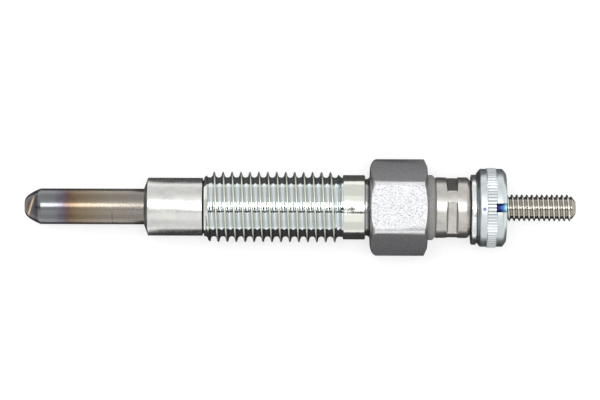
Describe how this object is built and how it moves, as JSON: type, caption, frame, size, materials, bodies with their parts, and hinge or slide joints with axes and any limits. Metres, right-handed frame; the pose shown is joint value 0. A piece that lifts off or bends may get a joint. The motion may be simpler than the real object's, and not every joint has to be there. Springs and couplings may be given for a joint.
{
  "type": "diesel glow plug",
  "caption": "Slim diesel glow plug: round sheathed heater tip, conical seat, threaded housing with spanner hex, and a screw terminal with a knurled, notched nut.",
  "frame": {"origin": "on the axis of the plug, at the front end of the housing thread", "axes": "+X along the axis towards the terminal, the heater tip points to -X, +Z out of one flat of the hex, which lies up when the plug rests on the opposite flat"},
  "size_m": [0.0769, 0.0134, 0.012],
  "materials": {
    "housing_zinc": "zinc-plated turned steel, bright threads and matte hex",
    "sheath_alloy": "heat-resistant alloy with blue and straw heat tint towards the tip",
    "heating_wire": "oxidised resistance wire",
    "control_wire": "dull nickel wire",
    "magnesia": "packed powder, matte",
    "seal_silicone": "matte silicone rubber",
    "rod_nickel": "nickel-plated rolled thread, satin",
    "ring_rubber": "matte black rubber",
    "bush_grey": "moulded, matte grey",
    "collar_nickel": "nickel-plated, satin, with crimp pads",
    "washer_zinc": "bright zinc",
    "nut_zinc": "bright zinc with a cool passivated tint"
  },
  "bodies": {
    "plug": {"housing": "housing_zinc", "sheath_tube": "sheath_alloy", "heating_coil": "heating_wire", "control_coil": "control_wire", "magnesia_fill": "magnesia", "sheath_seal": "seal_silicone", "centre_rod": "rod_nickel", "o_ring": "ring_rubber", "insulating_bush": "bush_grey", "crimp_collar": "collar_nickel"},
    "washer": {"plain_washer": "washer_zinc"},
    "nut": {"terminal_nut": "nut_zinc"}
  },
  "joints": [
    {"name": "nut_travel", "type": "slide", "parent": "plug", "child": "washer", "axis": [1, 0, 0], "range_m": [0, 0.014]},
    {"name": "nut_turn", "type": "hinge", "parent": "washer", "child": "nut", "pos_m": [0.0401, 0, 0], "axis": [1, 0, 0], "range_deg": [0, 7215]}
  ],
  "couplings": [
    {"joint": "nut_turn", "follows": "nut_travel", "rad_per_m": 8976}
  ]
}
